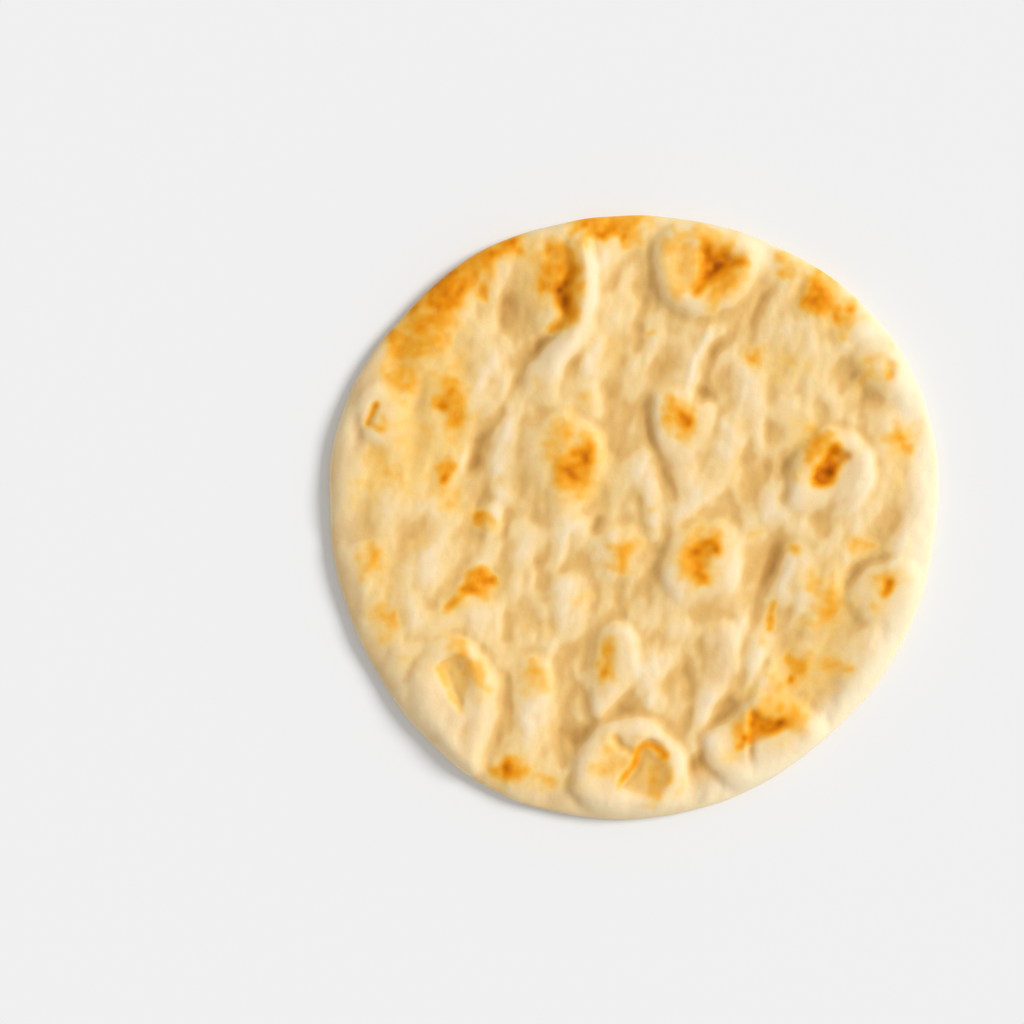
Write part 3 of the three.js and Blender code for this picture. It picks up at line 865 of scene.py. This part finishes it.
def addBakeMap(mesh, topFaces):
    # two discs side by side: the top large, the underside smaller
    corners = len(mesh.loops)
    vertex = np.zeros(corners, int)
    mesh.loops.foreach_get("vertex_index", vertex)
    places = np.zeros(len(mesh.vertices) * 3)
    mesh.vertices.foreach_get("co", places)
    places = places.reshape(-1, 3)[vertex] / mm
    starts = np.zeros(len(mesh.polygons), int)
    sizes = np.zeros(len(mesh.polygons), int)
    mesh.polygons.foreach_get("loop_start", starts)
    mesh.polygons.foreach_get("loop_total", sizes)
    face = np.repeat(np.arange(len(starts)), sizes)
    onTop = face < topFaces
    half = 91.5
    spread = places[:, :2] / half
    uv = np.where(onTop[:, None], 0.34 + spread * 0.335, 0.76 + spread * 0.235 * [-1, 1])
    layer = mesh.uv_layers.new(name="OFBake")
    layer.data.foreach_set("uv", uv.astype(np.float32).ravel())


loafData, lowerFree, topFaces = buildLoaf()
paintLoaf(loafData, lowerFree)
addBakeMap(loafData, topFaces)
pita = bpy.data.objects.new("pita_bread", loafData)
bpy.context.scene.collection.objects.link(pita)


crust = {
    "cream": (0.91, 0.66, 0.31),
    # paler still: the blisters' own colour, and a painted highlight on crests and slopes facing the light
    "pale": (0.95, 0.785, 0.565),
    # the rim's paler colour, laid on more on the lit side as a painted highlight
    "rim": (0.92, 0.785, 0.54),
    # colours of painted shade in low places and on slopes away from the light; the first is also an uneven
    # warm tone
    "goldenToneAndShade": (0.79, 0.485, 0.16),
    "shadedGolden": (0.58, 0.295, 0.07),
    "toasted": [  # how toasted, colour
        (0.0, (0.92, 0.67, 0.31)),
        (0.16, (0.93, 0.61, 0.19)),
        (0.34, (0.92, 0.44, 0.038)),
        (0.54, (0.85, 0.305, 0.002)),
        (0.76, (0.67, 0.195, 0.001)),
        (1.0, (0.40, 0.09, 0.001)),
    ],
    "puffed": 0.42,  # how pale the blisters are
    "mottle": 0.14,  # how uneven the toasting is
    "freckle": (0.86, 0.56, 0.20),
    "freckles": 0.22,
    "roughness": 0.5,
    "toastedRoughness": 0.66,
    "roughnessVaries": 0.16,
    "grain": 0.5,
    "grainDepth": 0.35,
    "glow": 0.4,  # light that goes into the dough and comes out beside
    "glowReach": 5.0,
    "glowTint": (1.0, 0.45, 0.16),
    "shine": 0.1,
}


def crustMaterial():
    material = bpy.data.materials.new("bakedCrust")
    material.use_nodes = True
    nodes, links = material.node_tree.nodes, material.node_tree.links
    shader = nodes["Principled BSDF"]

    def add(kind, **values):
        node = nodes.new("ShaderNode" + kind)
        for name, value in values.items():
            setattr(node, name, value)
        return node

    def attribute(name):
        return add("Attribute", attribute_name=name).outputs["Fac"]

    def maths(kind, a, b):
        node = add("Math", operation=kind)
        for socket, value in zip(node.inputs, (a, b)):
            if isinstance(value, (int, float)):
                socket.default_value = value
            else:
                links.new(value, socket)
        return node.outputs[0]

    def noise(scale, detail=3.0, rough=0.55, distortion=0.0):
        node = add("TexNoise")
        node.inputs["Scale"].default_value = scale
        node.inputs["Detail"].default_value = detail
        node.inputs["Roughness"].default_value = rough
        node.inputs["Distortion"].default_value = distortion
        links.new(place, node.inputs["Vector"])
        return node.outputs["Fac"]

    def ranged(value, low, high, toLow=0.0, toHigh=1.0):
        node = add("MapRange", interpolation_type="SMOOTHSTEP")
        links.new(value, node.inputs["Value"])
        for name, number in (("From Min", low), ("From Max", high), ("To Min", toLow), ("To Max", toHigh)):
            node.inputs[name].default_value = number
        return node.outputs["Result"]

    def blended(share, a, b):
        node = add("Mix", data_type="RGBA")  # sockets 6 and 7 are its two colours
        links.new(share, node.inputs["Factor"])
        for socket, value in ((node.inputs[6], a), (node.inputs[7], b)):
            if isinstance(value, tuple):
                socket.default_value = (*value, 1)
            else:
                links.new(value, socket)
        return node.outputs[2]

    place = add("TexCoord").outputs["Object"]
    toast, paintedShade, rim, puffed = (attribute(n) for n in ("toast", "paintedShade", "rim", "puffed"))

    # plain dough: painted shade from a warm yellow to brown where it lies low or faces away from the light,
    # over an uneven warm tone;
    # pale on the blisters and the rim, with a painted highlight on the crests and on slopes facing the
    # light
    broadTone = noise(55, 3)
    fineTone = noise(420, 4, 0.6)
    shadeAndTone = maths("ADD", paintedShade, maths("MULTIPLY", maths("SUBTRACT", broadTone, 0.5), 0.7))
    plainDough = blended(ranged(shadeAndTone, -0.2, 0.6), crust["cream"], crust["goldenToneAndShade"])
    plainDough = blended(ranged(shadeAndTone, 0.5, 1.8), plainDough, crust["shadedGolden"])
    # painted highlight on crests and on slopes facing the light
    crestHighlight = ranged(paintedShade, -0.05, -0.9, 0.0, 0.75)
    palenessAndHighlight = maths("MAXIMUM", crestHighlight, maths("MULTIPLY", puffed, crust["puffed"]))
    low = ranged(paintedShade, 0.1, 0.6, 1.0, 0.0)
    plainDough = blended(maths("MULTIPLY", palenessAndHighlight, low), plainDough, crust["pale"])
    plainDough = blended(rim, plainDough, crust["rim"])

    # toasting, mottled: it breaks up at its edges and has darker flecks
    fleck = noise(900, 3, 0.6)
    mottle = maths("ADD", maths("MULTIPLY", maths("SUBTRACT", fineTone, 0.5), 0.9),
                   maths("MULTIPLY", maths("SUBTRACT", fleck, 0.5), 0.5))
    toasted = maths("ADD", toast, maths("MULTIPLY", mottle, maths("MULTIPLY", toast, crust["mottle"])))
    ramp = add("ValToRGB")
    ramp.color_ramp.interpolation = "LINEAR"
    stops = ramp.color_ramp.elements
    while len(stops) < len(crust["toasted"]):
        stops.new(0.5)
    for stop, (at, colour) in zip(stops, crust["toasted"]):
        stop.position = at
        stop.color = (*colour, 1)
    links.new(toasted, ramp.inputs["Fac"])
    colour = blended(ranged(toasted, 0.0, 0.24), plainDough, ramp.outputs["Color"])

    # a light, uneven freckling over all of it
    freckles = ranged(noise(240, 4, 0.65, 0.4), 0.60, 0.76)
    colour = blended(maths("MULTIPLY", freckles, crust["freckles"]), colour, crust["freckle"])
    links.new(colour, shader.inputs["Base Color"])

    rough = maths("ADD", maths("MULTIPLY", maths("SUBTRACT", fineTone, 0.5), crust["roughnessVaries"]),
                  maths("MULTIPLY", toast, crust["toastedRoughness"] - crust["roughness"]))
    links.new(maths("ADD", rough, crust["roughness"]), shader.inputs["Roughness"])

    coarse = maths("MULTIPLY", noise(650, 4, 0.6), 0.6)
    bumps = maths("ADD", coarse, maths("MULTIPLY", noise(1900, 3, 0.6), 0.25))
    bump = add("Bump")
    bump.inputs["Strength"].default_value = crust["grain"]
    bump.inputs["Distance"].default_value = crust["grainDepth"] * mm
    links.new(bumps, bump.inputs["Height"])
    links.new(bump.outputs["Normal"], shader.inputs["Normal"])

    shader.inputs["Subsurface Weight"].default_value = crust["glow"]
    shader.inputs["Subsurface Radius"].default_value = crust["glowTint"]
    shader.inputs["Subsurface Scale"].default_value = crust["glowReach"] * mm
    shader.inputs["Specular IOR Level"].default_value = crust["shine"]
    return material


print("colouring the crust")
loafData.materials.append(crustMaterial())
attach(pita, "root")
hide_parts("pita")


studio = {
    "floorSize": 6.0,
    "floor": 0.872,
    "keyPower": 2.30,
    "keyBearing": 17,  # degrees from +X towards +Y
    "keyHeight": 40,
    "keySoftness": 24,
    "fill": 0.53,
    "lens": 85.0,
    "above": 0.710,
    "aim": (-35.5, 1.6),
}


def layFloor():
    half = studio["floorSize"] / 2
    mesh = bpy.data.meshes.new("table")
    corners = [(-half, -half, 0), (half, -half, 0), (half, half, 0), (-half, half, 0)]
    mesh.from_pydata(corners, [], [(0, 1, 2, 3)])
    material = bpy.data.materials.new("paleTable")
    material.use_nodes = True
    shader = material.node_tree.nodes["Principled BSDF"]
    shader.inputs["Base Color"].default_value = (studio["floor"],) * 3 + (1,)
    shader.inputs["Roughness"].default_value = 0.9
    shader.inputs["Specular IOR Level"].default_value = 0.0
    mesh.materials.append(material)
    table = bpy.data.objects.new("table", mesh)
    bpy.context.scene.collection.objects.link(table)


def hangLights():
    sun = bpy.data.lights.new("window", "SUN")
    sun.energy = studio["keyPower"]
    sun.angle = math.radians(studio["keySoftness"])
    lamp = bpy.data.objects.new("window", sun)
    bearing, height = math.radians(studio["keyBearing"]), math.radians(studio["keyHeight"])
    level = math.cos(height)
    towards = Vector((math.cos(bearing) * level, math.sin(bearing) * level, math.sin(height)))
    lamp.rotation_mode = "QUATERNION"
    lamp.rotation_quaternion = towards.to_track_quat("Z", "Y")
    lamp.location = towards
    bpy.context.scene.collection.objects.link(lamp)

    world = bpy.data.worlds.new("room")
    world.use_nodes = True
    nodes, links = world.node_tree.nodes, world.node_tree.links
    background = nodes["Background"]
    background.inputs["Color"].default_value = (1, 1, 1, 1)
    light = nodes.new("ShaderNodeLightPath")
    strength = nodes.new("ShaderNodeMapRange")
    strength.inputs["To Min"].default_value = studio["fill"]
    strength.inputs["To Max"].default_value = studio["floor"]
    links.new(light.outputs["Is Camera Ray"], strength.inputs["Value"])
    links.new(strength.outputs["Result"], background.inputs["Strength"])
    bpy.context.scene.world = world


def placeCamera():
    camera = bpy.data.cameras.new("above")
    camera.lens = studio["lens"]
    camera.clip_start, camera.clip_end = 0.01, 20
    holder = bpy.data.objects.new("above", camera)
    holder.location = (studio["aim"][0] * mm, studio["aim"][1] * mm, studio["above"])
    bpy.context.scene.collection.objects.link(holder)
    bpy.context.scene.camera = holder


print("setting the table")
layFloor()
hangLights()
placeCamera()
bpy.context.scene.view_settings.view_transform = "Standard"
